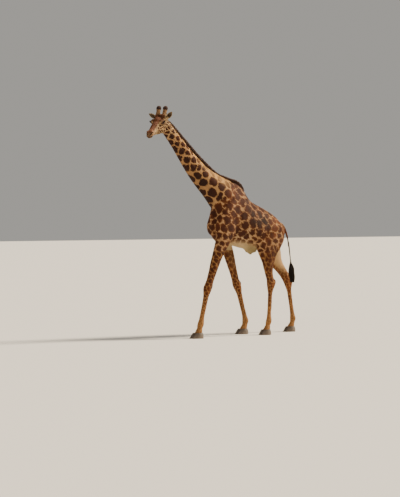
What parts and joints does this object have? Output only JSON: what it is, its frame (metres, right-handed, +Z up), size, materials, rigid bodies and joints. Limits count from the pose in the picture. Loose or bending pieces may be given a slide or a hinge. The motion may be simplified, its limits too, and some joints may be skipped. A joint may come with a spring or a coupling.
{
  "type": "giraffe",
  "caption": "Life-size still model of a giraffe bull in mid-stride, neck held forward, head turned to its left, standing on all its hooves.",
  "frame": {"origin": "on the floor, under the middle of the animal's whole box", "axes": "+Z up; the animal faces -Y and its left side is +X"},
  "size_m": [0.7959, 4.1415, 4.6144],
  "materials": {
    "coat": "short matt hair over skin, dark brown patches with cream lines between them",
    "mane_hair": "short stiff upright hair, dark brown",
    "dark_hair": "long near-black hair",
    "ear_skin": "thin skin with short greyish brown hair",
    "eye": "wet gloss",
    "hoof": "worn horn, grey-brown"
  },
  "bodies": {
    "root": {"ear_left": "ear_skin", "ear_right": "ear_skin", "eye_left": "eye", "eye_right": "eye", "fore_cannon_left": "coat", "fore_cannon_right": "coat", "foreleg_left": "coat", "foreleg_right": "coat", "head": "coat", "hind_cannon_left": "coat", "hind_cannon_right": "coat", "hind_leg_left": "coat", "hind_leg_right": "coat", "hoof_fore_left": "hoof", "hoof_fore_right": "hoof", "hoof_hind_left": "hoof", "hoof_hind_right": "hoof", "mane": "mane_hair", "neck": "coat", "ossicone_left": "coat", "ossicone_right": "coat", "tail": "coat", "tail_tuft": "dark_hair", "trunk": "coat"}
  },
  "joints": []
}
